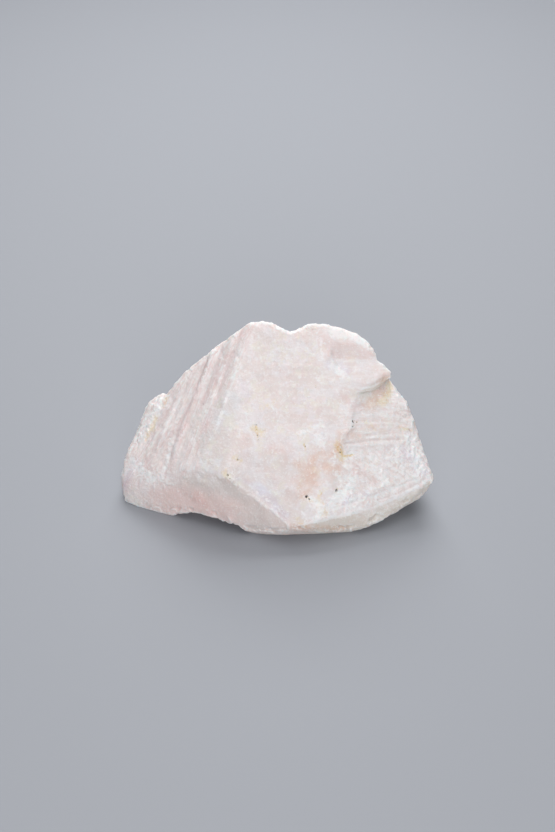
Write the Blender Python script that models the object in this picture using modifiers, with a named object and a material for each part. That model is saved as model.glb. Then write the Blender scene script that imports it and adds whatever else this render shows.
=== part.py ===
"""A rough, unpolished chunk of pink calcite, broken from a larger mass and lying on its flattest face.

The stone grew as one piece, so it is one solid. It is made the way it came about: a block bounded by its
break faces, with a knob and two thin plates that stand proud of it, then the hollows and slabs that broke
out of it, and last the relief that its fibrous layers leave on every broken face.

Run it with: blender --background --python part.py
World units are metres, +Z is up, and the origin is at the centre of the base of the bounding box.
"""

import math

import bmesh
import bpy
import numpy as np
from mathutils import Matrix, Vector, noise

MM = 0.001

# --- Driving dimensions -----------------------------------------------------------------------------------
# Every corner below is in millimetres, in a frame whose origin is near the middle of the resting face.
# Wear takes up to half a millimetre off each of these five, which leaves a stone of 111 x 65 x 65 mm.
LEFT_TOE = -57.3  # X of the low left toe
RIGHT_CORNER = 54.7  # X of the right corner
FRONT = -36.0  # Y of the foot's front tip
BACK = 29.5  # Y of the back
CREST = 65.0  # Z of the crest

MESH_CELL = 0.75  # cell of the mesh that the relief is worked into
TRIANGLES = 9400  # what the finished solid keeps of that mesh

# --- The block --------------------------------------------------------------------------------------------
CREST_EDGE = [
    (-16.2, 6.4, 56.8), (-10.3, 6.0, 63.4), (-7.4, 5.6, CREST),
    (-3.6, 5.2, CREST), (0.5, 4.8, 64.1),
]
LEFT_EDGE = [
    (LEFT_TOE, -10.6, 4.0), (-55.4, -7.0, 9.2), (-53.3, -2.0, 15.8), (-50.4, 1.8, 21.2),
    (-36.0, 7.6, 38.2), (-33.0, 7.9, 42.6), (-29.8, 8.4, 44.8),
]
RIGHT_EDGE = [
    (31.5, 6.5, 52.5), (40.0, 0.6, 42.0), (44.9, -2.8, 36.4),
    (50.4, -11.0, 22.8), (52.6, -13.6, 19.4), (RIGHT_CORNER, -16.6, 14.2),
]
# The upper ridge parts the left face from the front, and the left one parts it from the face below it.
UPPER_RIDGE = [(-17.9, -11.6, 43.0), (-16.2, -21.4, 29.4), (-15.9, -28.1, 23.0)]
LEFT_RIDGE = [(-38.8, -18.9, 14.0), (-27.3, -24.0, 23.0)]
LOWER_RIDGE = [
    (-5.9, -31.5, 17.0), (0.8, -34.4, 12.0), (5.2, FRONT, 8.0),
    (15.0, -33.6, 10.8), (26.4, -29.0, 11.4),
]
SHOULDER = [(25.2, -9.6, 42.7)]  # where the front face turns to the right-hand face
FOOT = [
    (-25.3, -21.0, 1.5), (-17.0, -28.2, 4.2), (-7.7, -31.0, 2.0),
    (-0.9, -31.2, 1.2), (6.0, -31.2, 1.6),
]
RIGHT_FOOT = [(20.5, -29.3, 1.6), (26.7, -29.2, 1.6), (36.0, -26.8, 4.0), (51.4, -17.4, 8.0)]
BED_DEPTH = -1.0  # the bed is drawn this far below the resting face, and the resting cut takes it off
BED_FRONT = [
    (-54.0, -11.0), (-47.9, -14.7), (-38.8, -17.6),
    (-8.0, -27.5), (24.0, -27.0), (41.0, -14.0),
]
BED_BACK = [(42.0, 8.0), (22.0, 23.0), (-16.0, 26.5), (-45.0, 14.0)]
BACK_TOP = [
    (-30.0, 18.0, 33.0), (-9.0, 18.5, 49.0), (13.0, 19.0, 46.0),
    (30.0, 15.0, 39.0), (42.0, 8.0, 27.0),
]
BACK_FOOT = [
    (-50.0, 9.0, 7.0), (-38.0, 22.0, 9.0), (-14.0, 29.0, 12.0),
    (12.0, BACK, 9.0), (33.0, 21.0, 7.0), (49.0, 2.0, 9.0),
]

# --- The second crest and the two plates on the right shoulder --------------------------------------------
BROW_RIM = [(4.2, 3.1, 61.5), (8.6, 4.9, 63.6), (13.0, 5.7, 64.3), (17.0, 5.4, 63.6)]
BROW_FRONT = [(4.4, -4.0, 52.0), (10.0, -9.0, 45.0), (19.5, -6.6, 47.8), (15.4, -1.9, 54.2)]
BROW_ROOT = [(6.0, 10.0, 55.0), (16.0, 9.0, 50.0), (14.0, 2.0, 42.0)]
UPPER_RIM = [
    (13.0, 5.6, 64.4), (16.8, 5.8, 63.6), (22.2, 5.7, 62.0),
    (27.7, 5.2, 60.0), (30.9, 4.2, 57.9),
]
UPPER_EDGE = [
    (14.4, 1.2, 58.7), (22.9, 1.6, 57.6), (30.0, 2.4, 56.7),
    (33.9, 2.4, 54.8), (34.4, 1.2, 52.8),
]
UPPER_BEVEL = [(14.4, 0.3, 55.7), (21.2, 0.2, 53.3), (28.1, 0.7, 52.2), (34.3, 1.2, 51.4)]
UPPER_ROOT = [(14.0, 11.0, 55.0), (27.0, 12.0, 53.0), (31.0, 10.0, 46.0), (16.0, 8.0, 46.0)]
LOWER_TOP = [(14.4, -0.8, 54.7), (24.6, -0.4, 52.5), (34.6, 0.9, 51.6)]
LOWER_SHOULDER = [(36.8, 0.5, 50.9), (39.1, -0.8, 48.8), (39.7, -1.9, 46.9)]
LOWER_LEDGE = [
    (20.5, -6.2, 47.4), (22.8, -7.3, 46.1), (27.9, -7.6, 45.0),
    (32.0, -7.1, 44.7), (35.8, -5.4, 45.6),
]
LOWER_ROOT = [
    (18.0, 3.0, 46.0), (25.0, 2.0, 42.0), (33.0, 3.0, 41.0),
    (37.5, 4.5, 43.5), (34.5, 7.0, 48.0),
]

# --- The knob on the left edge, and the notch between the two crests --------------------------------------
KNOB_RIM = [
    (-50.6, 3.0, 20.8), (-47.8, 6.4, 26.6), (-45.4, 7.8, 30.6),
    (-42.6, 8.6, 33.2), (-39.6, 8.2, 34.6),
]
KNOB_FRONT = [(-49.0, -4.4, 17.6), (-45.5, -0.8, 23.6), (-42.4, 2.6, 29.6)]
KNOB_ROOT = [(-44.0, 10.0, 24.0), (-38.0, 6.0, 28.0), (-44.0, -4.0, 14.0)]
NOTCH_FLOOR = [(4.3, -7.0, 68.6), (4.3, 14.0, 53.9)]
NOTCH_SIDES = [(-4.7, -7.0, 74.7), (-4.7, 14.0, 60.0), (13.3, -7.0, 74.9), (13.3, 14.0, 60.2)]

# --- What broke out of the stone --------------------------------------------------------------------------
# Each hollow is a ball's centre, its radii and its turn about Z in degrees.
SHOULDER_HOLLOW = ((40.2, -20.7, 54.7), (22.0, 22.0, 22.0), 0.0)  # under the lower plate
TOE_HOLLOW = ((-23.0, -23.5, -2.4), (15.0, 11.0, 6.6), -24.0)  # lifts the left foot off what it lies on
END_HOLLOW = ((76.0, 22.0, 27.0), (34.0, 30.0, 34.0), 0.0)  # a wide shell-shaped break on the right end
# Calcite splits along three directions. The edges at a blunt corner of its rhomb stand this far apart.
CLEAVAGE_ANGLE = 101.9
BACK_FACE = (0.05, 0.955, 0.292)  # which way the back looks, one of the three cleavage faces
CLEAVAGE_TILT = -14.0  # how far its first edge dips from level
# Each slab that split off the back: the gap's inner corner, and its extent along the three edges.
SPLIT_SLABS = [
    ((9.0, 21.0, 31.0), (-70.0, 40.0, 20.0)),
    ((-9.0, 24.6, 19.5), (70.0, 40.0, 20.0)),
    ((22.0, 20.0, 24.0), (60.0, 40.0, 20.0)),
]

# --- The relief on the faces ------------------------------------------------------------------------------
SAME_FACE = (0.80, 0.93)  # how nearly a point must look a face's way for its relief to start, and to be full
STEP_SOFTNESS = 0.9  # a broken step rises over twice this much
LEFT_FACE = (-0.611, -0.491, 0.621)  # which way the left face looks
ACROSS_GRAIN = (0.706, -0.693, 0.147)  # square to the fibres of the left face
GRAIN_STEPS = {
    -27.2: -1.0, -22.8: -0.3, -19.5: -0.8, -16.4: -0.3,
    -12.7: 0.9, -10.4: -0.9, -7.4: 0.3, -3.8: -0.7,
}
GRAIN_REACH = 3.5  # each step dies out this far to both sides
GRAIN_WANDER = (12.0, 0.9)  # size and height of the swells that bend the fibres
GRAIN_STRENGTH = (16.0, 0.85, 0.9)  # size of the swells that vary the steps, their mean share and its range
OVERHANG = (-0.37, -0.93, 0.0)  # which way the face under the left and lower ridges looks
ACROSS_OVERHANG = (0.877, 0.0, 0.480)
OVERHANG_STEPS = {-20.0: 0.4, -12.9: 0.9, -6.0: -0.4, 1.0: 0.4}
OVERHANG_REACH = 4.0
OVERHANG_WANDER = (10.0, 1.2)
FRONT_SIDE = (0.16, -0.78, 0.60)  # which way the front and right-hand faces look
# The seam between those two faces, as X and Z from its foot up.
SEAM = [(15.0, 10.0), (18.5, 20.0), (20.2, 24.5), (21.6, 30.0), (25.4, 35.5), (25.4, 40.5), (23.0, 44.0)]
SEAM_DROP = -0.8  # the right-hand face lies behind the front face
SEAM_REACH = 7.0
SEAM_WANDER = (7.0, 1.2)
SEAM_FOOT = (12.0, 22.0)  # the heights between which the seam's step sets in, and then those where it ends
SEAM_TOP = (41.0, 45.0)
FAN_SLOPE = 0.158  # fall of the layers on the right-hand face
FAN_STEPS = {29.0: 0.2, 33.3: 0.6, 37.4: 0.35}
FAN_REACH = 3.0
FAN_WANDER = (9.0, 0.8)
FAN_START = (1.0, 8.0)  # how far past the seam the layers start to show, and are full
RIDGE_MIDDLE = (40.3, -22.4, 12.6)  # on the lower right ridge, between its last two corners
RIDGE_GAP = 2.4  # that ridge is doubled by a ledge this far above it
RIDGE_STEP = 0.9
RIDGE_REACH = 3.0
RIDGE_WANDER = (6.0, 0.5)
RIDGE_LEFT = (8.0, 16.0)  # the X between which the ledge sets in, and then those where it ends
RIDGE_RIGHT = (48.0, 54.0)
LUMPS = ((21.0, 0.55), (8.5, 0.32), (3.6, 0.22))  # size and height of the rough surface's swells
BED_CLEAR = (-1.0, 3.0)  # the heights between which all relief grows from nothing to full
WEAR = 3  # passes of smoothing that take the keenness off every edge


def clear_scene():
    for old in list(bpy.data.objects):
        bpy.data.objects.remove(old)


def collection(name):
    made = bpy.data.collections.new(name)
    bpy.context.scene.collection.children.link(made)
    return made


def hull(name, corners, home):
    """The convex block that these corners bound."""
    shape = bmesh.new()
    for corner in corners:
        shape.verts.new(Vector(corner) * MM)
    made = bmesh.ops.convex_hull(shape, input=shape.verts)
    inside = [item for item in made["geom_interior"] if isinstance(item, bmesh.types.BMVert)]
    bmesh.ops.delete(shape, geom=inside, context="VERTS")
    bmesh.ops.recalc_face_normals(shape, faces=shape.faces)
    mesh = bpy.data.meshes.new(name)
    shape.to_mesh(mesh)
    shape.free()
    block = bpy.data.objects.new(name, mesh)
    home.objects.link(block)
    return block


def ball(name, hollow, home):
    """A ball with this centre, these radii and this turn about Z."""
    centre, radii, degrees = hollow
    shape = bmesh.new()
    bmesh.ops.create_icosphere(shape, subdivisions=4, radius=1.0)
    turn = Matrix.Rotation(math.radians(degrees), 3, "Z").to_quaternion()
    place = Matrix.LocRotScale(Vector(centre) * MM, turn, Vector(radii) * MM)
    bmesh.ops.transform(shape, matrix=place, verts=shape.verts)
    mesh = bpy.data.meshes.new(name)
    shape.to_mesh(mesh)
    shape.free()
    tool = bpy.data.objects.new(name, mesh)
    home.objects.link(tool)
    return tool


def cleavage_edges():
    """The three edge directions of the cleavage rhomb that has one face along the stone's back."""
    outward = Vector(BACK_FACE).normalized()
    level = outward.cross(Vector((0, 0, 1))).normalized()
    first = Matrix.Rotation(math.radians(CLEAVAGE_TILT), 3, outward) @ level
    second = Matrix.Rotation(math.radians(CLEAVAGE_ANGLE), 3, -outward) @ first
    lean = math.cos(math.radians(CLEAVAGE_ANGLE)) / (1.0 + first.dot(second))
    flat = lean * (first + second)
    third = flat + math.sqrt(1.0 - flat.length_squared) * outward
    return first, second, third


def rhomb(corner, extent):
    """The eight corners of a cleavage rhomb that runs this far from one corner along each edge."""
    corners = [Vector(corner)]
    for edge, length in zip(cleavage_edges(), extent):
        corners += [point + edge * length for point in corners]
    return corners


def boolean(stone, tool, operation):
    modifier = stone.modifiers.new(tool.name, "BOOLEAN")
    modifier.operation = operation
    modifier.solver = "EXACT"
    modifier.object = tool
    tool.hide_render = True
    tool.display_type = "WIRE"


def broken_block(home, cutters):
    """The stone before any relief: its break faces, what stands proud of it, and what broke out."""
    bed = [(x, y, BED_DEPTH) for x, y in BED_FRONT + BED_BACK]
    front = UPPER_RIDGE + LEFT_RIDGE + LOWER_RIDGE + SHOULDER + FOOT + RIGHT_FOOT
    rims = CREST_EDGE + LEFT_EDGE + RIGHT_EDGE
    stone = hull("calcite_chunk", rims + front + BACK_TOP + BACK_FOOT + bed, home)
    boolean(stone, ball("shoulder_hollow", SHOULDER_HOLLOW, cutters), "DIFFERENCE")
    grown = {
        "brow": BROW_RIM + BROW_FRONT + BROW_ROOT,
        "upper_plate": UPPER_RIM + UPPER_EDGE + UPPER_BEVEL + UPPER_ROOT,
        "lower_plate": LOWER_TOP + LOWER_SHOULDER + LOWER_LEDGE + LOWER_ROOT,
        "knob": KNOB_RIM + KNOB_FRONT + KNOB_ROOT,
    }
    for name, corners in grown.items():
        boolean(stone, hull(name, corners, cutters), "UNION")
    boolean(stone, hull("notch", NOTCH_FLOOR + NOTCH_SIDES, cutters), "DIFFERENCE")
    boolean(stone, ball("toe_hollow", TOE_HOLLOW, cutters), "DIFFERENCE")
    boolean(stone, ball("end_hollow", END_HOLLOW, cutters), "DIFFERENCE")
    for number, (corner, extent) in enumerate(SPLIT_SLABS):
        boolean(stone, hull(f"split_{number}", rhomb(corner, extent), cutters), "DIFFERENCE")
    return stone


def apply_modifiers(stone):
    graph = bpy.context.evaluated_depsgraph_get()
    mesh = bpy.data.meshes.new_from_object(stone.evaluated_get(graph))
    stone.modifiers.clear()
    old = stone.data
    stone.data = mesh
    bpy.data.meshes.remove(old)


def remesh(stone):
    modifier = stone.modifiers.new("even mesh", "REMESH")
    modifier.mode = "VOXEL"
    modifier.voxel_size = MESH_CELL * MM
    apply_modifiers(stone)


def eased(low, high, value):
    """0 below low, 1 above high, and an S curve between them."""
    share = np.clip((value - low) / (high - low), 0.0, 1.0)
    return share * share * (3.0 - 2.0 * share)


def swells(points, size, seed):
    """Smooth noise from -1 to 1 with swells of this size, read at points in millimetres."""
    shift = Vector((seed * 17.3, seed * 5.1, seed * 9.7))
    return np.array([noise.noise(Vector(point) / size + shift) for point in points])


def steps(place, drops, reach):
    """Steps along a line, each of which dies out within its reach to both sides."""
    relief = np.zeros(len(place))
    for line, drop in drops.items():
        climb = eased(line - STEP_SOFTNESS, line + STEP_SOFTNESS, place)
        relief += drop * (climb - np.clip((place - line + reach) / (2.0 * reach), 0.0, 1.0))
    return relief


def wander(points, swell, seed):
    """How far these swells, given as a size and a height, shift each point's place across a step."""
    size, height = swell
    return height * swells(points, size, seed)


def grain_relief(points, normals):
    """The stair of fibrous layers on the left face."""
    facing = eased(*SAME_FACE, normals @ np.array(LEFT_FACE))
    across = points @ np.array(ACROSS_GRAIN) + wander(points, GRAIN_WANDER, 1)
    size, mean, spread = GRAIN_STRENGTH
    strength = mean + spread * swells(points, size, 12)
    return facing * strength * steps(across, GRAIN_STEPS, GRAIN_REACH)


def overhang_relief(points, normals):
    """Slanting steps on the overhung face at the lower left."""
    facing = eased(*SAME_FACE, normals @ np.array(OVERHANG))
    across = points @ np.array(ACROSS_OVERHANG) + wander(points, OVERHANG_WANDER, 13)
    return facing * steps(across, OVERHANG_STEPS, OVERHANG_REACH)


def seam_relief(points, normals):
    """The right-hand face lies a little behind the front face, and its layers fan out from the seam."""
    x, z = points[:, 0], points[:, 2]
    facing = eased(*SAME_FACE, normals @ np.array(FRONT_SIDE))
    places, heights = np.transpose(SEAM)
    past_seam = x + wander(points, SEAM_WANDER, 2) - np.interp(z, heights, places)
    band = eased(*SEAM_FOOT, z) * (1.0 - eased(*SEAM_TOP, z))
    height = z + FAN_SLOPE * x + wander(points, FAN_WANDER, 3)
    fan = eased(*FAN_START, past_seam) * steps(height, FAN_STEPS, FAN_REACH)
    return facing * (band * steps(past_seam, {0.0: SEAM_DROP}, SEAM_REACH) + fan)


def ridge_relief(points, normals):
    """The ledge that doubles the lower right ridge."""
    ridge = np.array(LOWER_RIDGE[2:] + [RIDGE_MIDDLE, RIGHT_EDGE[-1]])
    x, z = points[:, 0], points[:, 2]
    facing = eased(*SAME_FACE, normals @ np.array(FRONT_SIDE))
    above = z - np.interp(x, ridge[:, 0], ridge[:, 2]) + wander(points, RIDGE_WANDER, 4)
    along = eased(*RIDGE_LEFT, x) * (1.0 - eased(*RIDGE_RIGHT, x))
    return facing * along * steps(above, {RIDGE_GAP: RIDGE_STEP}, RIDGE_REACH)


def work_relief(stone):
    """Move each point of the mesh along its normal by the relief of the face that it lies on."""
    mesh = stone.data
    flat = np.empty(len(mesh.vertices) * 3)
    mesh.vertices.foreach_get("co", flat)
    points = flat.reshape(-1, 3) / MM
    directions = np.empty(len(mesh.vertices) * 3)
    mesh.vertices.foreach_get("normal", directions)
    normals = directions.reshape(-1, 3)
    relief = grain_relief(points, normals) + overhang_relief(points, normals)
    relief += seam_relief(points, normals) + ridge_relief(points, normals)
    for seed, (size, height) in enumerate(LUMPS, start=5):
        relief += height * swells(points, size, seed)
    relief *= eased(*BED_CLEAR, points[:, 2])
    points = points + normals * relief[:, None]
    mesh.vertices.foreach_set("co", (points * MM).reshape(-1))
    mesh.update()


def wear_edges(stone):
    modifier = stone.modifiers.new("worn edges", "SMOOTH")
    modifier.factor = 0.5
    modifier.iterations = WEAR
    apply_modifiers(stone)


def simplify(stone):
    mesh = stone.data
    mesh.calc_loop_triangles()
    modifier = stone.modifiers.new("fewer faces", "DECIMATE")
    modifier.ratio = TRIANGLES / len(mesh.loop_triangles)
    modifier.use_collapse_triangulate = True
    apply_modifiers(stone)


def cut_resting_face(stone):
    """Cut the stone off flat at Z = 0, and put the origin at the centre of its box's base."""
    shape = bmesh.new()
    shape.from_mesh(stone.data)
    everything = shape.verts[:] + shape.edges[:] + shape.faces[:]
    down = (0, 0, -1)
    bmesh.ops.bisect_plane(shape, geom=everything, plane_co=(0, 0, 0), plane_no=down, clear_outer=True)
    rim = [edge for edge in shape.edges if edge.is_boundary]
    bmesh.ops.edgeloop_fill(shape, edges=rim)
    bmesh.ops.triangulate(shape, faces=[face for face in shape.faces if len(face.verts) > 3])
    bmesh.ops.recalc_face_normals(shape, faces=shape.faces)
    low = Vector([min(vertex.co[axis] for vertex in shape.verts) for axis in range(3)])
    high = Vector([max(vertex.co[axis] for vertex in shape.verts) for axis in range(3)])
    middle = (low + high) / 2
    bmesh.ops.translate(shape, vec=(-middle.x, -middle.y, -low.z), verts=shape.verts)
    shape.to_mesh(stone.data)
    shape.free()


def calcite():
    material = bpy.data.materials.new("pink calcite")
    material.use_nodes = True
    shader = material.node_tree.nodes["Principled BSDF"]
    shader.inputs["Base Color"].default_value = (0.76, 0.68, 0.67, 1.0)
    shader.inputs["Roughness"].default_value = 0.5
    shader.inputs["Metallic"].default_value = 0.0
    return material


def main():
    clear_scene()
    parts = collection("calcite chunk")
    cutters = collection("cutters")
    stone = broken_block(parts, cutters)
    apply_modifiers(stone)
    remesh(stone)
    work_relief(stone)
    wear_edges(stone)
    simplify(stone)
    cut_resting_face(stone)
    stone.data.materials.clear()
    stone.data.materials.append(calcite())


main()
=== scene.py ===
# %% [markdown]
# # A rough chunk of pink calcite
# Calcite is a soft, pale mineral that splits along three directions and often grows as bundles of fibres.
# A trace of manganese turns it pink. This lesson dresses one broken chunk of it: the packed solid gives the
# main faces, ledges and grooves, and the cells below add what a close look shows, which is the finer
# fibres, the grain, the crumbled ridges, the pits, and the milky colour with its pink, peach and ochre.

# %% Load the packed solid
import math

import bmesh
import bpy
import numpy as np
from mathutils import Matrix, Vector


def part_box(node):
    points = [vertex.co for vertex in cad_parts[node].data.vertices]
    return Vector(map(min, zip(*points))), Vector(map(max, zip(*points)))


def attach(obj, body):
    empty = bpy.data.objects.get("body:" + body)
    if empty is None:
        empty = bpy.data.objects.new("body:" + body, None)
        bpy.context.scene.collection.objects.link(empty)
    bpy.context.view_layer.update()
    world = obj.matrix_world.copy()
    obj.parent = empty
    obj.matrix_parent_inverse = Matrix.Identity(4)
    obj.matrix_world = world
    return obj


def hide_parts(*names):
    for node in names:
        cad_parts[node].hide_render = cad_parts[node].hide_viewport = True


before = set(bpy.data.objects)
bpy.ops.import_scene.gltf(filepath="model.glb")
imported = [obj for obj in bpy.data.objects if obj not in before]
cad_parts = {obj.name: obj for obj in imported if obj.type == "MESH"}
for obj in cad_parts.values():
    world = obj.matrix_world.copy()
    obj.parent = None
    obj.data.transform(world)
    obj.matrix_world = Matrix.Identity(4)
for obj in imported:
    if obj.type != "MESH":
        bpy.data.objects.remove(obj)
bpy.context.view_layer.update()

NODE = "calcite_chunk"
LENGTH_MM = 111.0  # the stone's length, so that every size below can be given in its millimetres

near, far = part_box(NODE)
MM = (far.x - near.x) / LENGTH_MM
print("solid box, mm:", [round(side / MM, 1) for side in far - near])

# %% [markdown]
# ## The camera
# It comes first, because the marks on the stone are placed by where the camera sees them. It looks down on
# the broad front face from about 35 degrees, with a fairly long lens, as one does to photograph a mineral.

# %% Place the camera
FRAME_WIDTH, FRAME_HEIGHT = 555, 832  # the picture's size, in pixels
SENSOR = 36.0  # millimetres along the picture's long side
LENS = 57.0  # millimetres of focal length
ELEVATION = math.radians(35.0)
DISTANCE = 461.0 * MM
TARGET = Vector((1.27, 3.16, 29.4)) * MM
RIGHT = Vector((1.0, 0.0, 0.0))

toward_camera = Vector((0.0, -math.cos(ELEVATION), math.sin(ELEVATION)))
camera_data = bpy.data.cameras.new("camera")
camera_data.lens = LENS
camera_data.sensor_width = SENSOR
camera_data.clip_start = 0.01
camera = bpy.data.objects.new("camera", camera_data)
camera.location = TARGET + toward_camera * DISTANCE
camera.rotation_euler = toward_camera.to_track_quat("Z", "Y").to_euler()
bpy.context.scene.collection.objects.link(camera)
bpy.context.scene.camera = camera


def sight_line(pixel):
    """The direction from the camera through this pixel of its picture."""
    across, down = pixel
    per_pixel = SENSOR / LENS / max(FRAME_WIDTH, FRAME_HEIGHT)
    picture_up = toward_camera.cross(RIGHT)
    aside = RIGHT * (across - FRAME_WIDTH / 2) - picture_up * (down - FRAME_HEIGHT / 2)
    return (aside * per_pixel - toward_camera).normalized()


print("camera at, mm:", [round(place / MM) for place in camera.location])

# %% [markdown]
# ## A finer skin
# The packed solid has about nine thousand triangles, each a couple of millimetres wide. Fibres and grain
# are far finer, so a copy of the solid is remeshed into an even skin, and smoothed just enough to lose the
# solid's own facets. A voxel remesh suits a stone, because it has no seams or flow lines to keep.

# %% Copy and remesh the solid
SKIN_CELL = 0.36  # millimetres between the points of the fine skin
FACET_SMOOTHING = 10  # pairs of passes that round off the solid's facets
INWARD_PASS, OUTWARD_PASS = 0.50, -0.52  # the second undoes the shrinking of the first
MERGE_GAP = 1e-6  # metres: corners of the loose triangles that are this close are one point

stone = bpy.data.objects.new("calcite_surface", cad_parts[NODE].data.copy())
bpy.context.scene.collection.objects.link(stone)
shape = bmesh.new()
shape.from_mesh(stone.data)
bmesh.ops.remove_doubles(shape, verts=shape.verts, dist=MERGE_GAP)
shape.to_mesh(stone.data)
shape.free()


def bake_modifiers(item):
    """Make the object's mesh what its modifiers make of it, and take them off."""
    graph = bpy.context.evaluated_depsgraph_get()
    mesh = bpy.data.meshes.new_from_object(item.evaluated_get(graph))
    item.modifiers.clear()
    item.data = mesh


remesh = stone.modifiers.new("even skin", "REMESH")
remesh.mode = "VOXEL"
remesh.voxel_size = SKIN_CELL * MM
for _ in range(FACET_SMOOTHING):
    for factor in (INWARD_PASS, OUTWARD_PASS):
        smooth = stone.modifiers.new("lose the facets", "SMOOTH")
        smooth.factor = factor
        smooth.iterations = 1
bake_modifiers(stone)
print("skin points:", len(stone.data.vertices))

# %% [markdown]
# ## Writing node trees as formulas
# The relief and the colour are both made of fields, which are numbers or vectors that vary over the stone.
# Geometry trees and material trees share most of their maths and texture nodes, so one small class serves
# both: each method adds a node to the tree and hands back its output, ready for the next formula.

# %% A tree that is written as formulas


class Sheet:
    """A node tree under construction."""

    def __init__(self, tree):
        self.tree = tree

    def add(self, kind, inputs=None, **settings):
        """A node with these settings. Each input is linked if a socket is given, and set if a value is."""
        node = self.tree.nodes.new(kind)
        for name, value in settings.items():
            setattr(node, name, value)
        for key, value in (inputs or {}).items():
            if isinstance(value, bpy.types.NodeSocket):
                self.tree.links.new(value, node.inputs[key])
            else:
                node.inputs[key].default_value = value
        return node

    def maths(self, operation, first, second=0.0):
        return self.add("ShaderNodeMath", {0: first, 1: second}, operation=operation).outputs[0]

    def plus(self, first, *others):
        for other in others:
            first = self.maths("ADD", first, other)
        return first

    def times(self, first, *others):
        for other in others:
            first = self.maths("MULTIPLY", first, other)
        return first

    def vector(self, operation, first, second=(0.0, 0.0, 0.0)):
        return self.add("ShaderNodeVectorMath", {0: first, 1: second}, operation=operation).outputs[0]

    def scaled(self, vector, share):
        inputs = {0: vector, "Scale": share}
        return self.add("ShaderNodeVectorMath", inputs, operation="SCALE").outputs[0]

    def along(self, vector, direction):
        """How far the vector reaches in this direction."""
        inputs = {0: vector, 1: direction}
        return self.add("ShaderNodeVectorMath", inputs, operation="DOT_PRODUCT").outputs["Value"]

    def rise(self, value, low, high):
        """0 below low, 1 above high, and an S curve between them."""
        inputs = {0: value, 1: low, 2: high}
        return self.add("ShaderNodeMapRange", inputs, interpolation_type="SMOOTHSTEP").outputs[0]

    def fall(self, value, low, high):
        return self.maths("SUBTRACT", 1.0, self.rise(value, low, high))

    def noise(self, place, size, detail=2.0, rough=0.5):
        """Noise from 0 to 1 whose swells are this many of the place's units across."""
        scale = self.maths("DIVIDE", 1.0, size) if isinstance(size, bpy.types.NodeSocket) else 1.0 / size
        inputs = {"Vector": place, "Scale": scale, "Detail": detail, "Roughness": rough}
        return self.add("ShaderNodeTexNoise", inputs).outputs[0]

    def signed_noise(self, place, size, detail=2.0, rough=0.5):
        return self.plus(self.noise(place, size, detail, rough), -0.5)

    def joined(self, x, y, z):
        return self.add("ShaderNodeCombineXYZ", {0: x, 1: y, 2: z}).outputs[0]

    def drawn_out(self, place, axis, stretch):
        """The place with everything along this axis squeezed, so that a texture on it is drawn out."""
        reach = self.along(place, axis)
        shift = self.scaled(tuple(axis), self.times(reach, 1.0 / stretch - 1.0))
        return self.vector("ADD", place, shift)


print("formula helpers:", [name for name in vars(Sheet) if not name.startswith("_")])

# %% [markdown]
# ## Where things lie on the stone
# A few directions carry most of what follows. The left face is a bundle of fibres seen from its side, so
# its streaks run steeply down it and spread a little toward the toe. The right-hand face shows layers
# nearly edge-on, and fibres that slant across it lower down. Each region is a mask from 0 to 1, made of
# which way the surface looks and where it is, so the relief and the colour can share it.

# %% Directions and regions
LEFT_FACE = Vector((-0.611, -0.491, 0.621))  # the way it faces
FIBRES = Vector((-0.360, -0.530, -0.768))  # down the left face
ACROSS_FIBRES = Vector((0.706, -0.693, 0.147))
RIGHT_FACE = Vector((0.259, -0.769, 0.585))  # the way it faces
LAYERS = Vector((0.957, 0.245, -0.151))  # along the layers of the right-hand face
SLANT = Vector((0.764, -0.208, -0.611))  # along the fibres low on the right-hand face
UP = Vector((0.0, 0.0, 1.0))


def regions(sheet, lie, place):
    """Masks of the stone's regions, from the smoothed normal and the place in millimetres."""
    x = sheet.along(place, RIGHT)
    z = sheet.along(place, UP)
    side = sheet.times(sheet.rise(sheet.along(lie, RIGHT_FACE), 0.78, 0.95), sheet.rise(x, 19.0, 26.0))
    return {
        "left": sheet.rise(sheet.along(lie, LEFT_FACE), 0.80, 0.93),
        "layers": sheet.times(side, sheet.rise(z, 25.0, 31.0), sheet.fall(z, 40.0, 45.0)),
        "slant": sheet.times(side, sheet.fall(z, 25.0, 31.0)),
        "plates": sheet.times(sheet.rise(x, 13.0, 16.0), sheet.rise(z, 43.0, 47.0)),
        "under": sheet.fall(sheet.along(lie, UP), 0.05, 0.40),
    }


print("down the fibres:", [round(part, 2) for part in FIBRES])

# %% Follow the fibres
FAN = (12.0, 27.0)  # how far toward the toe the fibres start to lean, and lean fully, in millimetres
FAN_LEAN = 0.27  # how far they lean for each millimetre down
FAN_TOP = 22.0  # millimetres up the fibres from the origin, where the lean starts
THROUGH = 0.3  # how fast the pattern changes on the way into the stone


def fibre_place(sheet, place, stretch):
    """The place drawn out along the fibres, which spread toward the toe."""
    down = sheet.along(place, FIBRES)
    across = sheet.along(place, ACROSS_FIBRES)
    lean = sheet.times(sheet.rise(sheet.times(across, -1.0), *FAN), FAN_LEAN)
    fanned = sheet.plus(across, sheet.times(lean, sheet.plus(down, FAN_TOP)))
    depth = sheet.along(place, LEFT_FACE)
    return sheet.joined(fanned, sheet.times(down, 1.0 / stretch), sheet.times(depth, THROUGH))


print("the fibres spread over", FAN[1] - FAN[0], "mm")

# %% [markdown]
# ## The marks
# Pits, stains, white chips, creases, worn ridges and broken rims are each given by the pixels where the
# camera sees them, and dropped onto the skin along those lines of sight, so they sit on the stone from any
# side. A mark is a short path and a reach: it is its full strength on the path and fades to 0 that far from
# it. Each layer of marks becomes a number on the skin's points, which the relief, the colour or both read.
# A painted texture would need an unwrapped surface, and numbers on the skin do not.

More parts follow.
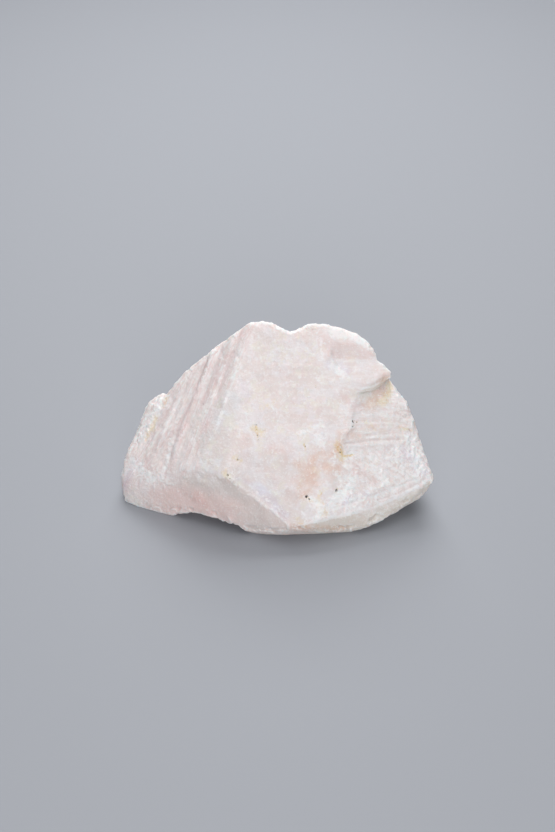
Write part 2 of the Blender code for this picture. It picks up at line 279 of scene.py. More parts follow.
# %% Drop pixels onto the stone
# Each pit is a small hole in the relief, and its inside is painted dark as painted shade.
PITS = {  # pixel: radius in millimetres, and how dark it is inside, from 0 to 1
    (256.0, 425.0): (0.38, 0.7),
    (256.6, 429.5): (0.22, 0.5),
    (257.4, 435.5): (0.26, 0.5),
    (258.2, 440.0): (0.20, 0.4),
    (237.5, 459.5): (0.36, 0.8),
    (227.5, 475.0): (0.40, 0.9),
    (230.0, 478.5): (0.24, 0.6),
    (305.0, 446.5): (0.30, 0.4),
    (316.0, 387.0): (0.28, 0.3),
    (202.5, 404.5): (0.32, 0.5),
    (340.0, 452.5): (0.34, 0.8),
    (351.5, 454.5): (0.24, 0.5),
    (353.5, 421.0): (0.58, 1.0),
    (352.8, 426.5): (0.32, 0.7),
    (356.8, 422.0): (0.24, 0.5),
    (306.5, 496.5): (0.54, 1.0),
    (309.3, 499.2): (0.32, 0.7),
    (336.5, 490.5): (0.48, 1.0),
    (419.0, 484.0): (0.28, 0.4),
}


def on_stone(pixel):
    """The point of the skin that the camera sees at this pixel."""
    hit, place, _, _ = stone.ray_cast(camera.location, sight_line(pixel))
    if not hit:
        raise ValueError(f"no stone at pixel {pixel}")
    return place


pit_places = {pixel: on_stone(pixel) for pixel in PITS}
print("pits:", len(pit_places))

# %% Tints in the stone
TINTS = {  # layer: (path of pixels, reach in millimetres, strength)
    "rose": [
        (((208, 360), (200, 380), (190, 408), (180, 438)), 4.0, 0.7),
        (((231, 346), (221, 364), (211, 390)), 2.0, 0.5),
        (((212, 352), (202, 372)), 3.0, 0.5),
        (((176, 428), (164, 455)), 3.6, 0.6),
        (((198, 496), (209, 513)), 4.5, 0.9),
        (((176, 494), (198, 510)), 5.0, 0.4),
        (((284, 372), (290, 384)), 4.5, 0.4),
        (((270, 448), (292, 452), (284, 462)), 5.0, 0.7),
        (((296, 402), (318, 410)), 6.0, 0.5),
        (((346, 400), (357, 408)), 3.6, 0.9),
        (((358, 424), (392, 432)), 4.0, 0.5),
        (((356, 466), (372, 478)), 5.0, 0.8),
        (((300, 356), (306, 392)), 6.0, 0.35),
        (((262, 468), (300, 500)), 8.0, 0.6),
        (((244, 440), (246, 470)), 6.0, 0.6),
    ],
    # Partly painted shade: the upper plate's pink band is glazed darker where its face turns down, as well
    # as for its pink.
    "band": [
        (((325, 342), (332, 350), (370, 352)), 4.6, 1.0),
    ],
    "lilac": [
        (((259, 488), (272, 500), (284, 515)), 3.8, 1.0),
        (((236, 478), (252, 484)), 2.0, 0.8),
        (((330, 364), (346, 370)), 4.4, 0.8),
        (((406, 452), (424, 470)), 5.0, 0.9),
        (((346, 500), (366, 494)), 3.6, 0.9),
        (((122, 486), (134, 462)), 4.4, 0.9),
        (((240, 380), (250, 400)), 5.0, 0.5),
    ],
    "grey": [
        (((228, 400), (222, 430), (214, 462)), 6.5, 1.0),
        (((205, 440), (206, 468)), 4.0, 0.9),
        (((238, 478), (260, 484), (284, 500), (298, 511)), 6.5, 1.0),
        (((196, 480), (222, 485), (244, 497)), 4.4, 0.9),
        (((250, 460), (286, 468)), 8.0, 0.6),
    ],
}
print("tints:", list(TINTS))

# %% Stains of iron, and painted shade in the recess under the lower plate
STAINS_AND_RECESS_SHADE = {  # in the same way
    "peach": [
        (((318, 455), (313, 464)), 3.6, 0.8),
        (((311, 471), (309, 482)), 6.2, 0.9),
        (((310, 489), (307, 493)), 3.6, 0.9),
        (((322, 466), (333, 469)), 6.0, 0.7),
        (((294, 463), (301, 468)), 3.6, 0.5),
        (((341, 434), (339, 447), (329, 458)), 3.0, 0.6),
        # Partly painted shade: under the lower plate's ledge the peach also darkens the recess as its
        # shade.
        (((388, 379), (380, 392), (367, 406)), 4.4, 0.8),
        (((294, 529), (345, 529)), 3.4, 0.8),
        (((346, 432), (360, 438)), 3.6, 0.5),
    ],
    "straw": [
        (((166, 398), (163, 405)), 2.8, 1.0),
        (((155, 416), (152, 429)), 3.2, 1.0),
        (((148, 432), (146, 438)), 2.6, 1.0),
        (((390, 383), (389, 392), (382, 402)), 3.2, 1.0),
        (((366, 422), (374, 428)), 2.6, 0.6),
        (((400, 428), (412, 430)), 1.4, 0.8),
        (((262, 406), (276, 404)), 2.6, 0.6),
        (((318, 500), (324, 512)), 3.4, 0.8),
        (((298, 520), (306, 526)), 2.4, 0.7),
        (((253, 428), (261, 432)), 2.6, 0.9),
        (((338, 444), (342, 458)), 3.0, 0.9),
        (((234, 457), (240, 461)), 1.8, 0.8),
        (((225, 473), (229, 478)), 2.2, 1.0),
    ],
    "ochre": [
        (((340, 450), (342, 455)), 1.6, 0.8),
        (((336, 446), (339, 448)), 1.3, 0.7),
        (((341, 459), (345, 459)), 1.1, 0.5),
        (((343, 456.5), (353, 455)), 0.9, 0.9),
        (((256, 426), (258, 440)), 0.9, 0.7),
        (((235, 458), (239, 460)), 0.8, 0.4),
        (((226.5, 475), (228.5, 477.5)), 0.8, 0.4),
        (((304, 444), (306, 449)), 1.0, 0.7),
        (((308, 498), (312, 501)), 1.1, 0.8),
        (((320, 491), (322, 494)), 0.8, 0.7),
        (((337, 489.5), (339, 487.5)), 0.7, 0.6),
        (((354.5, 421.5), (357, 422)), 0.8, 0.6),
        (((315.5, 386), (316.5, 388.5)), 0.7, 0.6),
    ],
}
print("stains:", list(STAINS_AND_RECESS_SHADE))

# %% Chips, ridges and creases
BREAKS = {  # in the same way: the first two are frosted, and the last two only shape the relief
    "white": [
        (((127, 494), (140, 500), (160, 504)), 6.0, 0.4),
        (((170, 395), (158, 399), (149, 408)), 1.8, 0.8),
        (((145, 416), (137, 436), (129, 456)), 2.0, 0.7),
        (((162, 404), (151, 416), (141, 440)), 4.2, 0.9),
        (((238, 335), (216, 352), (192, 369), (180, 385)), 1.4, 0.7),
        (((132, 462), (150, 478), (165, 480)), 6.0, 0.7),
        (((172, 440), (166, 468)), 3.0, 0.7),
        (((222, 412), (216, 428)), 1.8, 0.8),
        (((333, 333), (350, 335), (368, 345)), 3.2, 1.0),
        (((321, 338), (322, 358)), 1.4, 0.7),
        (((333, 364), (344, 376)), 4.0, 0.7),
        (((352, 486), (342, 494), (330, 506)), 4.5, 0.9),
        (((303, 512), (308, 522)), 2.2, 0.6),
        (((372, 466), (386, 482)), 3.4, 0.8),
        (((396, 446), (402, 470)), 3.4, 0.7),
        (((410, 440), (420, 468)), 4.6, 0.9),
        (((300, 434), (322, 424)), 3.0, 0.7),
        (((318, 378), (322, 384)), 2.0, 0.6),
        (((318, 436), (322, 445)), 2.8, 1.0),
        (((334, 448), (336, 464)), 1.7, 0.6),
        (((336, 473), (341, 481)), 1.6, 0.9),
        (((312, 500), (322, 508), (316, 520)), 3.0, 0.9),
        (((350, 501), (358, 496), (366, 498)), 1.8, 0.9),
        (((256, 491), (270, 502), (282, 513)), 1.8, 0.6),
    ],
    "edge": [
        (((305, 524), (334, 518), (372, 508), (401, 496), (426, 481)), 1.1, 1.0),
        (((330, 511), (346, 506), (365, 499), (392, 490), (419, 479)), 0.9, 0.9),
        (((346, 386), (360, 389), (372, 389), (383, 384)), 1.0, 0.8),
        (((241, 348), (232, 382), (226, 402)), 1.4, 0.6),
    ],
    # Creases are grooves in the relief, and their glaze paints them a little darker as painted shade.
    "crease": [
        (((209, 369), (200, 391), (190, 415)), 0.9, 0.3),
        (((235, 345), (228, 362), (217, 395)), 1.0, 0.6),
        (((346, 443), (372, 440), (400, 439)), 1.0, 0.9),
        (((366, 435), (389, 434)), 0.9, 0.6),
        (((398, 440), (402, 445)), 0.8, 0.6),
        (((400, 427), (411, 430)), 0.8, 0.7),
        (((196, 474), (206, 488), (223, 508)), 0.9, 0.4),
        (((258, 492), (276, 509), (290, 525)), 1.0, 0.6),
        (((340, 513), (368, 504)), 0.9, 0.5),
        (((378, 500), (397, 493.5), (420, 483)), 0.9, 0.7),
        (((414, 484.5), (421, 483)), 0.8, 1.0),
    ],
    "broken": [
        (((216, 516), (240, 528), (262, 531)), 3.0, 0.8),
        (((262, 531), (300, 530), (330, 530), (352, 530)), 3.0, 1.0),
        (((352, 530), (380, 516), (400, 507), (422, 494)), 3.0, 0.7),
        (((136, 504), (160, 509), (190, 511)), 2.4, 0.6),
        (((300, 330), (335, 331), (360, 340), (374, 356)), 2.6, 0.9),
        (((394, 392), (399, 402), (412, 434), (427, 472)), 3.0, 1.0),
    ],
    "worn": [
        (((121, 490), (140, 486), (166, 482), (182, 478)), 6.0, 1.0),
        (((182, 478), (198, 475), (213, 480), (225, 488)), 4.2, 0.8),
        (((350, 388), (372, 389), (386, 381)), 3.0, 0.7),
    ],
}
print("breaks:", list(BREAKS))

# %% Lay the marks on the skin


def nearness(places, path, reach):
    """For each place, 1 on the path and 0 at this reach from it."""
    gap = np.full(len(places), np.inf)
    for start, end in zip(path, path[1:]):
        run = end - start
        share = np.clip((places - start) @ run / (run @ run), 0.0, 1.0)
        gap = np.minimum(gap, np.linalg.norm(places - start - share[:, None] * run, axis=1))
    return np.clip(1.0 - gap / reach, 0.0, 1.0)


MARKS = {**TINTS, **STAINS_AND_RECESS_SHADE, **BREAKS}
skin = np.empty(len(stone.data.vertices) * 3, np.float32)
stone.data.vertices.foreach_get("co", skin)
skin = skin.reshape(-1, 3) / MM
for layer, paths in MARKS.items():
    shown = np.zeros(len(skin))
    for pixels, reach, strength in paths:
        path = np.array([on_stone(pixel) for pixel in pixels]) / MM
        shown = np.maximum(shown, strength * nearness(skin, path, reach))
    stone.data.attributes.new(layer, "FLOAT", "POINT").data.foreach_set("value", shown)
print("marks:", {layer: len(paths) for layer, paths in MARKS.items()})

# %% [markdown]
# ## The relief
# The fine relief follows rules, so it is a Geometry Nodes tree that moves each point of the skin, and its
# sizes are named inputs. Sculpting it would be slower to change, and a bump map would leave the outline
# smooth. The tree is written over the next cells: each kind of relief is a height in millimetres, and the
# last cell adds the heights up and moves the skin by them.

# %% Sizes of the relief
RELIEF_SIZES = {  # millimetres, apart from the seed
    "Fibre Spacing": 1.1,
    "Fibre Depth": 0.31,
    "Grain Size": 1.8,
    "Grain Depth": 0.16,
    "Terrace Size": 7.0,
    "Terrace Drop": 0.06,
    "Layer Spacing": 1.1,
    "Layer Depth": 0.32,
    "Crumb Size": 2.6,
    "Crumb Depth": 0.42,
    "Crease Depth": 0.28,
    "Chip Depth": 0.60,
    "Bite Size": 4.5,
    "Bite Depth": 0.75,
    "Seed": 3.0,
}
SEED_SHIFT = (17.0, 5.0, 9.0)  # how far each seed moves the noises, in millimetres
print("relief inputs:", len(RELIEF_SIZES))

# %% Open the relief tree
relief = bpy.data.node_groups.new("calcite relief", "GeometryNodeTree")
relief.interface.new_socket("Geometry", in_out="INPUT", socket_type="NodeSocketGeometry")
for name, size in RELIEF_SIZES.items():
    socket = relief.interface.new_socket(name, in_out="INPUT", socket_type="NodeSocketFloat")
    socket.default_value = size
relief.interface.new_socket("Material", in_out="INPUT", socket_type="NodeSocketMaterial")
relief.interface.new_socket("Geometry", in_out="OUTPUT", socket_type="NodeSocketGeometry")

rock = Sheet(relief)
given = rock.add("NodeGroupInput").outputs
position = rock.add("GeometryNodeInputPosition").outputs[0]
normal = rock.add("GeometryNodeInputNormal").outputs[0]
place = rock.scaled(position, 1.0 / MM)
seeded = rock.vector("ADD", place, rock.scaled(SEED_SHIFT, given["Seed"]))


def blurred(value, passes):
    inputs = {"Value": value, "Iterations": passes}
    return rock.add("GeometryNodeBlurAttribute", inputs, data_type="FLOAT_VECTOR").outputs[0]


def mark(name):
    """How strongly this layer of marks lies here."""
    return rock.add("GeometryNodeInputNamedAttribute", {"Name": name}, data_type="FLOAT").outputs[0]


def swells(where, size_name, detail, rough):
    """Noise from -0.5 to 0.5, of the size that this input of the tree gives."""
    return rock.signed_noise(where, given[size_name], detail, rough)


print("relief tree opened:", len(relief.nodes), "nodes")

# %% [markdown]
# ### Faces and ridges
# Blurring the positions gives a free measure of the ridges: a point that stands proud of its blurred self
# is on one. Blurred normals say which face a point lies on. Away from the ridges the faces are calmed
# toward their blurred shape, because a cleaved face is flatter than the packed solid's lumps. Where a
# ridge is worn, a much wider blur rounds it off.

# %% Calm the faces and round the worn ridges
LIE_PASSES = 16  # blurs of the normal, until it says which face a point lies on
CALM_PASSES = 60  # blurs of the place, until only the faces are left
WORN_PASSES = 260  # blurs of the place, until a ridge is round
MOST_CALMING = 0.9

lie = rock.vector("NORMALIZE", blurred(normal, LIE_PASSES))
zone = regions(rock, lie, place)
fibrous = rock.times(zone["left"], rock.fall(mark("grey"), 0.1, 0.6))
calm = blurred(place, CALM_PASSES)
proud = rock.along(rock.vector("SUBTRACT", place, calm), normal)
ridge = rock.times(rock.rise(proud, 0.15, 0.60), rock.fall(mark("worn"), 0.1, 0.5))
sharp = rock.rise(rock.maths("ABSOLUTE", proud), 0.14, 0.40)
rugged = rock.plus(fibrous, zone["layers"], zone["slant"], zone["plates"])
calming = rock.times(rock.fall(sharp, 0.0, 1.0), rock.fall(rugged, 0.0, 1.4), MOST_CALMING)
settled = rock.scaled(rock.vector("SUBTRACT", calm, place), calming)
rounding = rock.vector("SUBTRACT", blurred(place, WORN_PASSES), place)
worn = rock.scaled(rounding, rock.rise(mark("worn"), 0.0, 0.7))
settled = rock.vector("ADD", settled, worn)
print("faces and ridges:", len(relief.nodes), "nodes so far")

# %% [markdown]
# ### Fibres, grain, terraces and layers
# Fibres are noise drawn out along the left face. Grain is a Voronoi pattern, in two sizes, in which each
# cell tilts its own way, as the cleavage of each grain of calcite does. Terraces are noise cut into levels,
# like the steps of a split face. Layers are noise drawn out along the right-hand face.

# %% Fibres and grain
FIBRE_STRETCH = 9.0  # how many times longer than wide a fibre is
FINER_GRAIN = 0.45  # the size of the second grain, as a share of the first

fibres = swells(fibre_place(rock, seeded, FIBRE_STRETCH), "Fibre Spacing", 3.0, 0.6)
heights = [rock.times(fibres, given["Fibre Depth"], fibrous)]


def facets(size):
    """Grain of this size: in each cell of a Voronoi pattern the skin tilts its own way."""
    inputs = {"Vector": seeded, "Scale": rock.maths("DIVIDE", 1.0, size)}
    cells = rock.add("ShaderNodeTexVoronoi", inputs).outputs
    tilt = rock.vector("SUBTRACT", cells["Color"], (0.5, 0.5, 0.5))
    return rock.along(rock.vector("SUBTRACT", seeded, cells["Position"]), tilt)


chips = rock.rise(rock.plus(mark("white"), mark("broken")), 0.1, 0.8)
coarse = rock.plus(0.7, zone["slant"], rock.times(zone["layers"], 0.3), rock.times(chips, 1.2))
even = rock.plus(zone["plates"], mark("grey"), rock.times(zone["under"], 0.3))
coarse = rock.times(coarse, rock.fall(even, 0.0, 1.3))
grain = rock.plus(facets(given["Grain Size"]), facets(rock.times(given["Grain Size"], FINER_GRAIN)))
heights.append(rock.times(grain, given["Grain Depth"], coarse))
print("fibres and grain:", len(relief.nodes), "nodes so far")

# %% Terraces and layers
TERRACES = 14.0  # levels over the whole range of the noise
LAYER_STRETCH, SLANT_STRETCH = 10.0, 4.0
PLATE_LAYERS = 0.12  # how much of the layers' depth the plates show

levels = rock.times(swells(seeded, "Terrace Size", 4.0, 0.6), TERRACES)
climb = rock.rise(rock.maths("FRACT", levels), 0.40, 0.60)
terrace = rock.plus(rock.maths("FLOOR", levels), climb)
flat = rock.fall(rock.plus(fibrous, zone["plates"]), 0.0, 0.8)
heights.append(rock.times(terrace, given["Terrace Drop"], flat))

layers = swells(rock.drawn_out(seeded, LAYERS, LAYER_STRETCH), "Layer Spacing", 2.0, 0.5)
layered = rock.plus(zone["layers"], rock.times(zone["plates"], PLATE_LAYERS))
heights.append(rock.times(layers, given["Layer Depth"], layered))
slanted = swells(rock.drawn_out(seeded, SLANT, SLANT_STRETCH), "Layer Spacing", 3.0, 0.6)
heights.append(rock.times(slanted, given["Layer Depth"], zone["slant"]))
print("terraces and layers:", len(relief.nodes), "nodes so far")

# %% [markdown]
# ### Damage
# Ridges crumble, and chips are rough inside. The lower rim has lost larger bites. Creases are grooves along
# their marks, and a pit is a small round hole.

# %% Crumbs, chips, bites and creases
crumbs = rock.rise(swells(seeded, "Crumb Size", 3.0, 0.6), -0.08, 0.12)
heights.append(rock.times(crumbs, given["Crumb Depth"], ridge, -1.0))
chipped = rock.times(swells(seeded, "Crumb Size", 4.0, 0.7), chips)
heights.append(rock.times(chipped, given["Chip Depth"]))
bites = rock.rise(swells(seeded, "Bite Size", 2.0, 0.5), 0.0, 0.08)
bitten = rock.times(rock.rise(mark("broken"), 0.1, 0.7), zone["under"])
heights.append(rock.times(bites, given["Bite Depth"], bitten, -1.0))
groove = rock.rise(mark("crease"), 0.0, 1.0)
heights.append(rock.times(groove, given["Crease Depth"], -1.0))
print("damage:", len(relief.nodes), "nodes so far")

# %% Pits
PIT_DEPTH = 0.7  # as a share of a pit's radius
PIT_WALL = (0.4, 1.5)  # from where the floor ends to where the skin is whole, as shares of the radius


def pit_wall(sheet, start, pixel, radius, wall):
    """1 inside the pit at this pixel and 0 outside it. Its wall is between these shares of its radius."""
    inputs = {0: start, 1: pit_places[pixel]}
    away = sheet.add("ShaderNodeVectorMath", inputs, operation="DISTANCE").outputs["Value"]
    return sheet.fall(away, wall[0] * radius * MM, wall[1] * radius * MM)


for pixel, (radius, _) in PITS.items():
    hole = pit_wall(rock, position, pixel, radius, PIT_WALL)
    heights.append(rock.times(hole, -PIT_DEPTH * radius))
print("kinds of relief and pits:", len(heights))

# %% [markdown]
# ### Move the skin
# The heights are added up along the normal. Close above the flat bed all of the relief fades to nothing, so
# the stone still rests on the same face. Three values are kept on the points for the colour to read: the
# smoothed normal, and how far the point stands out of a narrow and of a wide blur, to frost the edges.

# %% Add up the relief
BED_CLEAR = (0.12, 1.0)  # the heights between which all relief grows from nothing to full, in millimetres
EDGE_BLURS = {"frost": 4, "ridge": 40}  # attribute: how many times the place it is measured from is blurred

moved = rock.vector("ADD", settled, rock.scaled(normal, rock.plus(*heights)))
clear = rock.rise(rock.along(place, UP), *BED_CLEAR)
inputs = {"Geometry": given["Geometry"], "Offset": rock.scaled(moved, rock.times(clear, MM))}
shaped = rock.add("GeometryNodeSetPosition", inputs).outputs[0]


def kept(geometry, name, value, kind):
    """The geometry with this value kept on its points, where the material can read it."""
    inputs = {"Geometry": geometry, "Name": name, "Value": value}
    return rock.add("GeometryNodeStoreNamedAttribute", inputs, data_type=kind, domain="POINT").outputs[0]


shaped = kept(shaped, "lie", lie, "FLOAT_VECTOR")
for name, passes in EDGE_BLURS.items():
    stands = rock.along(rock.vector("SUBTRACT", place, blurred(place, passes)), lie)
    shaped = kept(shaped, name, stands, "FLOAT")
whole = rock.add("GeometryNodeRealizeInstances", {"Geometry": shaped}).outputs[0]
inputs = {"Geometry": whole, "Material": given["Material"]}
finished = rock.add("GeometryNodeSetMaterial", inputs).outputs[0]
relief.links.new(finished, rock.add("NodeGroupOutput").inputs[0])
print("relief tree:", len(relief.nodes), "nodes")

# %% [markdown]
# ## The colour
# Pink calcite is milky rather than painted. It is a patchwork of pale pink, a faint lilac and cream, all
# nearly white, with bright flecks painted in as glints where a cleavage plane would catch the light, and
# darker ones painted in as shade. Where the fibres are cut along their length they show as fine hairs over
# soft pink bands. Fresh edges are frosted white. Iron has left peach clouds and a few ochre stains around
# tiny dark pits: they are glazes, so they multiply the colour under them and the grain shows through. The
# pits' insides are painted dark as their shade, and the creases and the faces that look down are painted
# darker as shade. The peach in the recess under the lower plate and the upper plate's pink band are partly
# their colour and partly painted shade.

# %% Colours


def linear(red, green, blue):
    """A display colour from 0 to 255, as the linear one that a shader works in."""
    shares = [value / 255 for value in (red, green, blue)]
    parts = [s / 12.92 if s <= 0.04045 else ((s + 0.055) / 1.055) ** 2.4 for s in shares]
    return (*parts, 1.0)


PINK = linear(236, 225, 223)
LILAC = linear(238, 231, 232)
CREAM = linear(238, 231, 224)
DUSK = linear(226, 214, 212)
FROST = linear(250, 249, 250)
ROSE = linear(232, 213, 212)
STRAND = linear(242, 232, 230)
# Painted shade colours for the faces that look down.
SALMON_SHADE = linear(238, 213, 208)
TAUPE_SHADE = linear(227, 214, 209)
SAGE_SHADE = linear(227, 219, 209)
# Painted shade: the dark inside of a pit.
PIT_SHADE = linear(46, 36, 26)  # the inside of a pit
GLAZES = {  # each multiplies what it lies on
    "rose": linear(250, 241, 240),
    "band": linear(252, 245, 243),
    "lilac": linear(248, 248, 255),
    "grey": linear(248, 250, 250),
    "straw": linear(254, 248, 226),
    "peach": linear(249, 232, 221),
    "ochre": linear(242, 222, 164),
    # painted shade along the creases
    "crease": linear(240, 234, 233),
}
print("glazes:", list(GLAZES))

# %% Open the material
pink_calcite = bpy.data.materials.new("pink calcite")
pink_calcite.use_nodes = True
shader = pink_calcite.node_tree.nodes["Principled BSDF"]
paint = Sheet(pink_calcite.node_tree)
point = paint.add("ShaderNodeTexCoord").outputs["Object"]
where = paint.scaled(point, 1.0 / MM)


def attribute(name, output="Fac"):
    return paint.add("ShaderNodeAttribute", None, attribute_name=name).outputs[output]


def mixed(share, first, second, blend="MIX"):
    inputs = {0: share, 6: first, 7: second}
    return paint.add("ShaderNodeMix", inputs, data_type="RGBA", blend_type=blend).outputs[2]


def patches(size, low, high):
    """Ragged patches of about this size. The nearer low is to high, the crisper their rims."""
    return paint.rise(paint.noise(where, size, 5.0, 0.65), low, high)


def marked(name, low, high, ragged, size):
    """How strongly this layer of marks shows, with its rim broken up by a noise of this size."""
    rim = paint.times(paint.signed_noise(where, size, 5.0, 0.65), ragged)
    return paint.rise(paint.plus(attribute(name), rim), low, high)


print("material:", pink_calcite.name)

# %% The patchwork
PATCHWORK = (  # size in millimetres, the noise at which it starts and is full, how much it covers, colour
    (9.0, 0.46, 0.54, 1.00, PINK),
    (5.0, 0.54, 0.60, 0.80, CREAM),
    (2.6, 0.52, 0.58, 0.35, DUSK),
    (1.7, 0.56, 0.60, 0.35, FROST),
)
colour = LILAC
for size, low, high, cover, tint in PATCHWORK:
    colour = mixed(paint.times(patches(size, low, high), cover), colour, tint)
print("patchwork:", len(pink_calcite.node_tree.nodes), "nodes so far")

# %% Fibres and layers
STRAND_WIDTH, STRAND_STRETCH = 2.2, 6.0  # millimetres, and how many times longer than wide, here and below
HAIR_WIDTH = 0.55
MOTTLE_WIDTH, MOTTLE_STRETCH = 1.4, 2.5
STRIPE_WIDTH, STRIPE_STRETCH = 0.9, 8.0

lying = regions(paint, attribute("lie", "Vector"), where)
plain = marked("grey", 0.10, 0.50, 0.3, 3.0)
hairy = paint.times(lying["left"], paint.plus(1.0, paint.times(plain, -1.0)))

strands = paint.noise(fibre_place(paint, where, STRAND_STRETCH), STRAND_WIDTH, 3.0)
streaked = mixed(paint.rise(strands, 0.40, 0.60), STRAND, ROSE)
colour = mixed(paint.times(hairy, 0.65), colour, streaked)
hairs = paint.noise(fibre_place(paint, where, FIBRE_STRETCH), HAIR_WIDTH, 2.0, 0.6)
colour = mixed(paint.times(paint.rise(hairs, 0.54, 0.64), hairy, 0.55), colour, FROST)
colour = mixed(paint.times(paint.fall(hairs, 0.36, 0.46), hairy, 0.35), colour, ROSE)

slanting = paint.noise(paint.drawn_out(where, SLANT, MOTTLE_STRETCH), MOTTLE_WIDTH, 5.0, 0.7)
mottled = mixed(paint.rise(slanting, 0.46, 0.56), FROST, PINK)
colour = mixed(paint.times(lying["slant"], 0.55), colour, mottled)
layering = paint.noise(paint.drawn_out(where, LAYERS, STRIPE_STRETCH), STRIPE_WIDTH, 3.0, 0.6)
banded = mixed(paint.rise(layering, 0.42, 0.58), FROST, PINK)
striped = paint.plus(lying["layers"], paint.times(lying["plates"], 0.6))
colour = mixed(paint.times(striped, 0.40), colour, banded)
print("with fibres and layers:", len(pink_calcite.node_tree.nodes), "nodes so far")

# %% The undersides, painted darker as their shade
x = paint.along(where, RIGHT)
z = paint.along(where, UP)
# Painted shade: faces that look down, except at the toe, are painted darker and warmer, salmon low on the
# left and greyer above it and to its right.
faded = paint.maths("MAXIMUM", paint.rise(x, -18.0, -6.0), paint.rise(z, 11.0, 19.0))
underside_shade = mixed(faded, SALMON_SHADE, TAUPE_SHADE)  # salmon low on the left, and greyer above it and to its right
underside_shade = mixed(paint.rise(x, 8.0, 16.0), underside_shade, SAGE_SHADE)
shaded_underside = paint.times(lying["under"], paint.rise(x, -50.0, -36.0))
colour = mixed(paint.times(shaded_underside, 0.8), colour, underside_shade)
print("with the undersides:", len(pink_calcite.node_tree.nodes), "nodes so far")

# %% Glazes over the marks
GLAZE_RIMS = (  # layer, the strengths at which it starts and is full, raggedness, size of the rags in mm
    ("rose", 0.15, 1.00, 0.9, 3.0),
    ("band", 0.34, 0.48, 0.2, 2.0),
    ("lilac", 0.20, 0.90, 1.0, 2.4),
    ("grey", 0.10, 0.60, 0.3, 3.0),
    ("straw", 0.25, 0.95, 1.8, 1.2),
    ("peach", 0.10, 0.90, 1.3, 3.0),
    ("crease", 0.30, 1.00, 0.7, 1.2),
    ("ochre", 0.30, 0.95, 1.6, 0.6),
)
for name, low, high, ragged, size in GLAZE_RIMS:
    colour = mixed(marked(name, low, high, ragged, size), colour, GLAZES[name], "MULTIPLY")
print("glazes laid:", len(GLAZE_RIMS))

# %% Chips, painted glints and shade flecks, and frosted edges
FLECK_SIZE = 0.8  # millimetres

chalky = marked("white", 0.38, 0.70, 1.6, 1.0)
colour = mixed(paint.times(chalky, 0.7), colour, FROST)
colour = mixed(paint.times(marked("edge", 0.25, 0.75, 1.1, 1.2), 0.6), colour, FROST)
# Painted highlight: bright flecks stand in for cleavage planes catching the light, and the darker flecks
# are painted shade.
glint_and_shade_flecks = paint.noise(where, FLECK_SIZE, 3.0, 0.7)
colour = mixed(paint.times(paint.rise(glint_and_shade_flecks, 0.58, 0.64), 0.5), colour, FROST)
colour = mixed(paint.times(paint.fall(glint_and_shade_flecks, 0.36, 0.42), 0.3), colour, DUSK)
colour = mixed(paint.times(paint.rise(attribute("frost"), 0.02, 0.08), 0.45), colour, FROST)
colour = mixed(paint.times(paint.rise(attribute("ridge"), 0.30, 0.80), 0.5), colour, FROST)
print("with chips and flecks:", len(pink_calcite.node_tree.nodes), "nodes so far")

# %% Dark pits, painted dark inside as their shade
JITTER = 0.8  # how far the noise can move a pit's dark rim, in millimetres from end to end
JITTER_SCALE = 1.6  # swells per millimetre
DARK_WALL = (0.6, 1.2)  # as PIT_WALL is, but for the colour

inputs = {"Vector": where, "Scale": JITTER_SCALE, "Detail": 2.0}
random = paint.add("ShaderNodeTexNoise", inputs).outputs["Color"]
jitter = paint.scaled(paint.vector("SUBTRACT", random, (0.5, 0.5, 0.5)), JITTER * MM)
jagged = paint.vector("ADD", point, jitter)
# Each pit's inside is painted near black, as the shade in the hole.
for pixel, (radius, darkness) in PITS.items():
    inside = pit_wall(paint, jagged, pixel, radius, DARK_WALL)
    colour = mixed(paint.times(inside, darkness), colour, PIT_SHADE)
pink_calcite.node_tree.links.new(colour, shader.inputs["Base Color"])
print("dark pits:", len(PITS))

# %% [markdown]
# ## The gloss
# A broken face of calcite has a soft, uneven gloss, and light goes a little way into it before it comes
# back, the red furthest. That is what subsurface scattering is for. A fine bump adds the hairs and the
# sugary grain that are too small to be worth triangles.

# %% Gloss, milkiness and the finest grain
CALCITE_IOR = 1.6
MILKINESS = 0.6  # the share of the light that goes into the stone
MILK_REACH = 2.5  # how far the red goes into it, in millimetres
MILK_TINT = (1.0, 0.72, 0.66)  # how far each colour goes, as a share of that
ROUGHNESS, UNEVENNESS = 0.42, 0.3
HAIR_BUMP, SUGAR_BUMP = 0.25, 0.5  # millimetres
BUMP_STRENGTH = 0.7

rough = paint.plus(ROUGHNESS, paint.times(paint.noise(where, 3.0, 3.0), UNEVENNESS))
pink_calcite.node_tree.links.new(rough, shader.inputs["Roughness"])
shader.inputs["IOR"].default_value = CALCITE_IOR
shader.inputs["Subsurface Weight"].default_value = MILKINESS
shader.inputs["Subsurface Radius"].default_value = MILK_TINT
shader.inputs["Subsurface Scale"].default_value = MILK_REACH * MM

hair = paint.times(hairs, hairy, HAIR_BUMP)
sugar = paint.times(paint.noise(where, FLECK_SIZE, 4.0, 0.7), SUGAR_BUMP)
inputs = {"Height": paint.plus(hair, sugar), "Strength": BUMP_STRENGTH, "Distance": 1.0 * MM}
bump = paint.add("ShaderNodeBump", inputs).outputs[0]
pink_calcite.node_tree.links.new(bump, shader.inputs["Normal"])
print("material:", len(pink_calcite.node_tree.nodes), "nodes")

# %% [markdown]
# ## The finished stone
# The tree's sizes are set by each input's identifier. Its result is made a plain mesh, and a Decimate pass
# spends fewer triangles where the skin is flat, which keeps the piece light enough to export whole.

# %% Make the relief real
MOST_TRIANGLES = 190000

grow = stone.modifiers.new("relief", "NODES")
grow.node_group = relief
for item in relief.interface.items_tree:
    if item.in_out == "INPUT" and item.name in RELIEF_SIZES:
        grow[item.identifier] = RELIEF_SIZES[item.name]
    elif item.name == "Material":
        grow[item.identifier] = pink_calcite
bake_modifiers(stone)

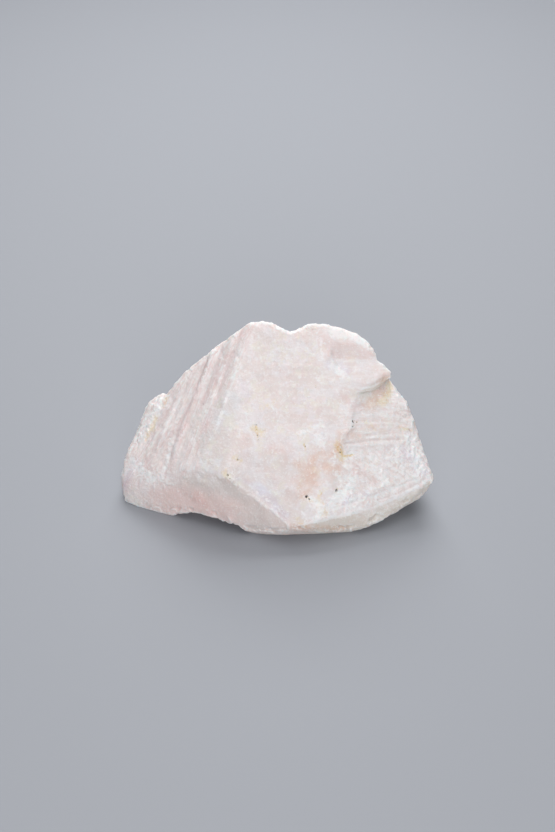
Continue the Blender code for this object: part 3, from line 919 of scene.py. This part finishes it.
stone.data.calc_loop_triangles()
count = len(stone.data.loop_triangles)
if count > MOST_TRIANGLES:
    lighten = stone.modifiers.new("lighten", "DECIMATE")
    lighten.ratio = MOST_TRIANGLES / count
    lighten.use_collapse_triangulate = True
    bake_modifiers(stone)
for face in stone.data.polygons:
    face.use_smooth = True

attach(stone, "root")
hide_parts(NODE)
print("relief baked:", count, "triangles, then", len(stone.data.polygons))

# %% [markdown]
# ## Floor and light
# A plain, pale blue-grey floor and the soft light of a studio. The strongest panel is broad and stands high
# behind the stone, so that its rims are the brightest and its shadow falls toward the viewer. One straight
# overhead lights the floor and the tops, and two in front, one high and one low, fill the faces that look
# this way.

# %% Floor
FLOOR_SIZE = 6.0  # metres
PAPER = linear(151, 154, 161)
PAPER_ROUGHNESS = 0.7
floor_mesh = bpy.data.meshes.new("floor")
half = FLOOR_SIZE / 2
corners = [(-half, -half, 0), (half, -half, 0), (half, half, 0), (-half, half, 0)]
floor_mesh.from_pydata(corners, [], [(0, 1, 2, 3)])
floor = bpy.data.objects.new("floor", floor_mesh)
bpy.context.scene.collection.objects.link(floor)
floor_material = bpy.data.materials.new("floor paper")
floor_material.use_nodes = True
paper = floor_material.node_tree.nodes["Principled BSDF"]
paper.inputs["Base Color"].default_value = PAPER
paper.inputs["Roughness"].default_value = PAPER_ROUGHNESS
floor_mesh.materials.append(floor_material)

# %% Light
WORLD_STRENGTH = 0.11
world = bpy.data.worlds.new("soft room")
world.use_nodes = True
world.node_tree.nodes["Background"].inputs["Color"].default_value = (1.0, 1.0, 1.0, 1.0)
world.node_tree.nodes["Background"].inputs["Strength"].default_value = WORLD_STRENGTH
bpy.context.scene.world = world

PANELS = {  # name: place in metres, width in metres, power in watts
    "behind": ((0.0, 0.573, 0.694), 0.60, 7.0),
    "overhead": ((0.0, 0.0, 0.900), 0.50, 2.3),
    "front": ((0.0, -0.450, 0.779), 0.60, 1.7),
    "low": ((0.0, -0.862, 0.260), 0.50, 3.8),
}
for name, (spot, width, power) in PANELS.items():
    panel_data = bpy.data.lights.new(name, "AREA")
    panel_data.size = width
    panel_data.energy = power
    panel = bpy.data.objects.new(name, panel_data)
    panel.location = spot
    panel.rotation_euler = Vector(spot).to_track_quat("Z", "Y").to_euler()  # it faces the stone
    bpy.context.scene.collection.objects.link(panel)

bpy.context.scene.view_settings.view_transform = "Standard"
print("lights:", list(PANELS))

# %% [markdown]
# ## The size
# The dressed stone has to keep to the packed solid's box. The smoothing and the crumbled ridges leave the
# dressed stone about a millimetre shorter at its left end than the packed solid.
